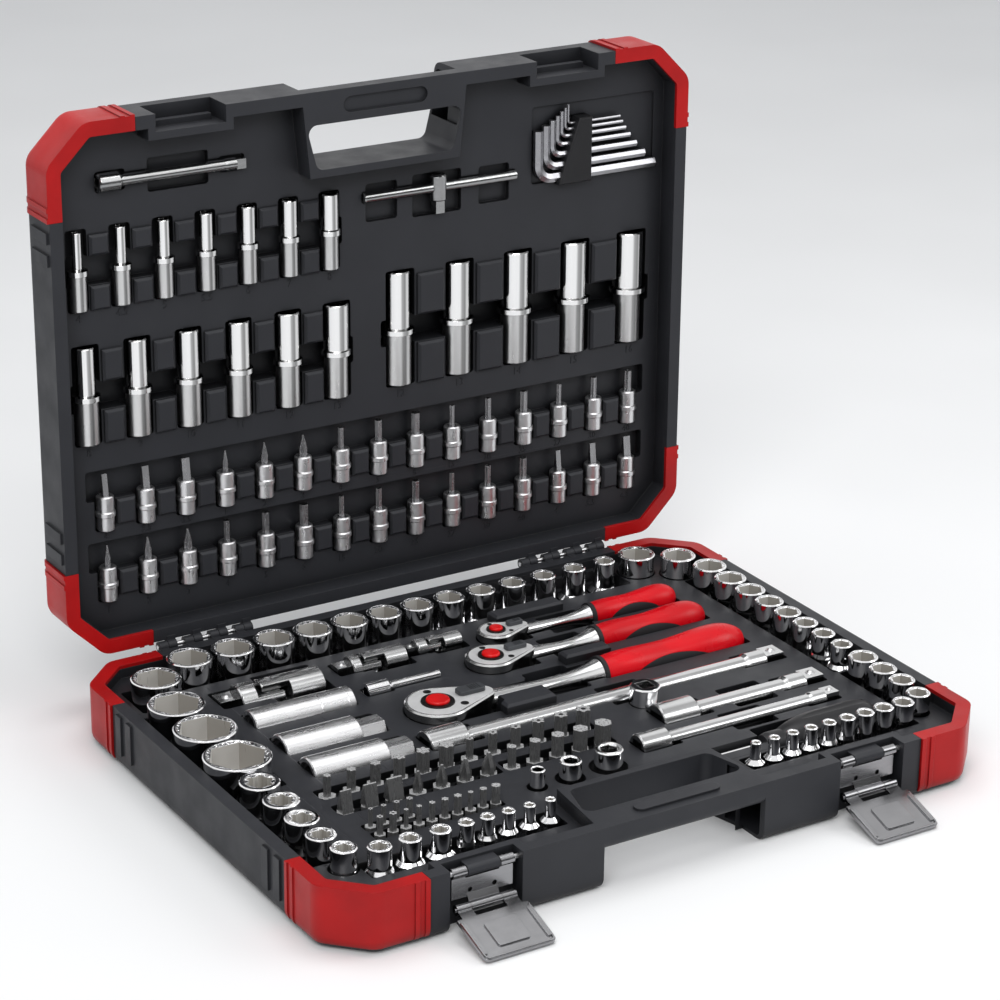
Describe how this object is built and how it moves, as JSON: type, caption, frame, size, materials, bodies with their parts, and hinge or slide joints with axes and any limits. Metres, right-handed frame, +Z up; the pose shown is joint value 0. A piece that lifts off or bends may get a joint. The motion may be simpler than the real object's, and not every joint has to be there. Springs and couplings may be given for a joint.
{
  "type": "socket wrench set",
  "caption": "Open hinged tool case with red corner guards and toggle latches; ratchets, sockets, bits, extension bars, joints and hex keys lie or stand in moulded trays.",
  "frame": {"origin": "centre of the flat underside of the base half", "axes": "+X to the right along the handle edge, +Y back towards the lid hinge, +Z up out of the base"},
  "size_m": [0.4632, 0.4257, 0.3888],
  "materials": {
    "case_black": "fine moulded grain",
    "tray_black": "moulded satin",
    "guard_red": "satin",
    "chrome": "polished, satin drive ends",
    "satin_steel": "satin",
    "dark_steel": "tempered grey",
    "grip_red": "smooth",
    "soft_black": "matt",
    "hard_black": "satin"
  },
  "bodies": {
    "base": {"base_shell": "case_black", "base_corner_guards": "guard_red", "base_tray": "tray_black", "half_inch_sockets": "chrome", "three_eighths_sockets": "chrome", "quarter_inch_sockets": "chrome", "star_sockets": "chrome", "star_bits": "dark_steel", "screwdriver_bits": "dark_steel", "hexagon_bits": "dark_steel", "short_bits": "dark_steel", "adapters": "chrome", "ratchet_bodies": "chrome", "ratchet_covers": "satin_steel", "ratchet_screws": "dark_steel", "ratchet_pawls": "satin_steel", "ratchet_grips": "grip_red", "ratchet_inlays": "soft_black", "joint_drive_forks": "chrome", "extension_bars": "chrome", "spark_plug_sockets": "chrome", "spark_plug_inserts": "soft_black", "spinner_shaft": "chrome", "spinner_grip": "hard_black", "hinge_pins": "satin_steel", "latch_plate_pins": "satin_steel"},
    "lid": {"lid_shell": "case_black", "lid_corner_guards": "guard_red", "lid_tray": "tray_black", "deep_quarter_inch_sockets": "chrome", "deep_three_eighths_sockets": "chrome", "deep_half_inch_sockets": "chrome", "bit_socket_holders": "satin_steel", "bit_socket_tips": "dark_steel", "lid_extension_bar": "chrome", "t_bar_rod": "chrome", "hex_keys": "satin_steel", "hex_key_holder": "hard_black"},
    "t_bar_slider": {"t_bar_slider": "chrome"},
    "latch_plate_left": {"latch_plate_left": "satin_steel", "latch_lever_pin_left": "satin_steel"},
    "latch_lever_left": {"latch_lever_left": "satin_steel"},
    "latch_plate_right": {"latch_plate_right": "satin_steel", "latch_lever_pin_right": "satin_steel"},
    "latch_lever_right": {"latch_lever_right": "satin_steel"},
    "half_inch_drive": {"half_inch_ratchet_drive": "satin_steel"},
    "half_inch_button": {"half_inch_release_button": "grip_red"},
    "half_inch_reverser": {"half_inch_reversing_lever": "hard_black"},
    "three_eighths_drive": {"three_eighths_ratchet_drive": "satin_steel"},
    "three_eighths_button": {"three_eighths_release_button": "grip_red"},
    "three_eighths_reverser": {"three_eighths_reversing_lever": "hard_black"},
    "quarter_inch_drive": {"quarter_inch_ratchet_drive": "satin_steel"},
    "quarter_inch_button": {"quarter_inch_release_button": "grip_red"},
    "quarter_inch_reverser": {"quarter_inch_reversing_lever": "hard_black"},
    "half_inch_cross": {"half_inch_joint_cross": "satin_steel"},
    "half_inch_joint": {"half_inch_joint_socket": "chrome"},
    "three_eighths_cross": {"three_eighths_joint_cross": "satin_steel"},
    "three_eighths_joint": {"three_eighths_joint_socket": "chrome"},
    "quarter_inch_cross": {"quarter_inch_joint_cross": "satin_steel"},
    "quarter_inch_joint": {"quarter_inch_joint_socket": "chrome"}
  },
  "joints": [
    {"name": "lid_hinge", "type": "hinge", "parent": "base", "child": "lid", "pos_m": [0, 0.1755, 0.0402], "axis": [1, 0, 0], "range_deg": [0, 90.6]},
    {"name": "t_bar_slide", "type": "slide", "parent": "lid", "child": "t_bar_slider", "axis": [1, 0, 0], "range_m": [-0.012, 0.012]},
    {"name": "latch_plate_left_swing", "type": "hinge", "parent": "base", "child": "latch_plate_left", "pos_m": [-0.135, -0.166, 0.035], "axis": [-1, 0, 0], "range_deg": [0, 8]},
    {"name": "latch_lever_left_turn", "type": "hinge", "parent": "latch_plate_left", "child": "latch_lever_left", "pos_m": [-0.135, -0.17, 0.014], "axis": [-1, 0, 0], "range_deg": [0, 101]},
    {"name": "latch_plate_right_swing", "type": "hinge", "parent": "base", "child": "latch_plate_right", "pos_m": [0.135, -0.166, 0.035], "axis": [-1, 0, 0], "range_deg": [0, 8]},
    {"name": "latch_lever_right_turn", "type": "hinge", "parent": "latch_plate_right", "child": "latch_lever_right", "pos_m": [0.135, -0.17, 0.014], "axis": [-1, 0, 0], "range_deg": [0, 101]},
    {"name": "half_inch_drive_turn", "type": "hinge", "parent": "base", "child": "half_inch_drive", "pos_m": [-0.0515, 0.024, 0.0281], "axis": [0, 0, 1], "continuous": true},
    {"name": "half_inch_button_press", "type": "slide", "parent": "half_inch_drive", "child": "half_inch_button", "axis": [0, 0, -1], "range_m": [0, 0.002], "stiffness_N_per_m": 900, "springref_m": -0.002},
    {"name": "half_inch_reverse", "type": "hinge", "parent": "base", "child": "half_inch_reverser", "pos_m": [-0.03008, 0.02652, 0.0371], "axis": [0, 0, 1], "range_deg": [-16, 16]},
    {"name": "three_eighths_drive_turn", "type": "hinge", "parent": "base", "child": "three_eighths_drive", "pos_m": [0.0125, 0.066, 0.0296], "axis": [0, 0, 1], "continuous": true},
    {"name": "three_eighths_button_press", "type": "slide", "parent": "three_eighths_drive", "child": "three_eighths_button", "axis": [0, 0, -1], "range_m": [0, 0.002], "stiffness_N_per_m": 900, "springref_m": -0.002},
    {"name": "three_eighths_reverse", "type": "hinge", "parent": "base", "child": "three_eighths_reverser", "pos_m": [0.02933, 0.06798, 0.0371], "axis": [0, 0, 1], "range_deg": [-16, 16]},
    {"name": "quarter_inch_drive_turn", "type": "hinge", "parent": "base", "child": "quarter_inch_drive", "pos_m": [0.036, 0.098, 0.0311], "axis": [0, 0, 1], "continuous": true},
    {"name": "quarter_inch_button_press", "type": "slide", "parent": "quarter_inch_drive", "child": "quarter_inch_button", "axis": [0, 0, -1], "range_m": [0, 0.002], "stiffness_N_per_m": 900, "springref_m": -0.002},
    {"name": "quarter_inch_reverse", "type": "hinge", "parent": "base", "child": "quarter_inch_reverser", "pos_m": [0.04875, 0.0995, 0.0371], "axis": [0, 0, 1], "range_deg": [-16, 16]},
    {"name": "half_inch_joint_lift", "type": "hinge", "parent": "base", "child": "half_inch_cross", "pos_m": [-0.1285, 0.103, 0.0265], "axis": [0, -1, 0], "range_deg": [0, 8]},
    {"name": "half_inch_joint_swing", "type": "hinge", "parent": "half_inch_cross", "child": "half_inch_joint", "pos_m": [-0.1285, 0.103, 0.0265], "axis": [0, 0, 1], "range_deg": [-12, 12]},
    {"name": "three_eighths_joint_lift", "type": "hinge", "parent": "base", "child": "three_eighths_cross", "pos_m": [-0.0545, 0.106, 0.0295], "axis": [0, -1, 0], "range_deg": [0, 8]},
    {"name": "three_eighths_joint_swing", "type": "hinge", "parent": "three_eighths_cross", "child": "three_eighths_joint", "pos_m": [-0.0545, 0.106, 0.0295], "axis": [0, 0, 1], "range_deg": [-12, 12]},
    {"name": "quarter_inch_joint_lift", "type": "hinge", "parent": "base", "child": "quarter_inch_cross", "pos_m": [-0.007, 0.107, 0.032], "axis": [0, -1, 0], "range_deg": [0, 8]},
    {"name": "quarter_inch_joint_swing", "type": "hinge", "parent": "quarter_inch_cross", "child": "quarter_inch_joint", "pos_m": [-0.007, 0.107, 0.032], "axis": [0, 0, 1], "range_deg": [-12, 12]}
  ]
}
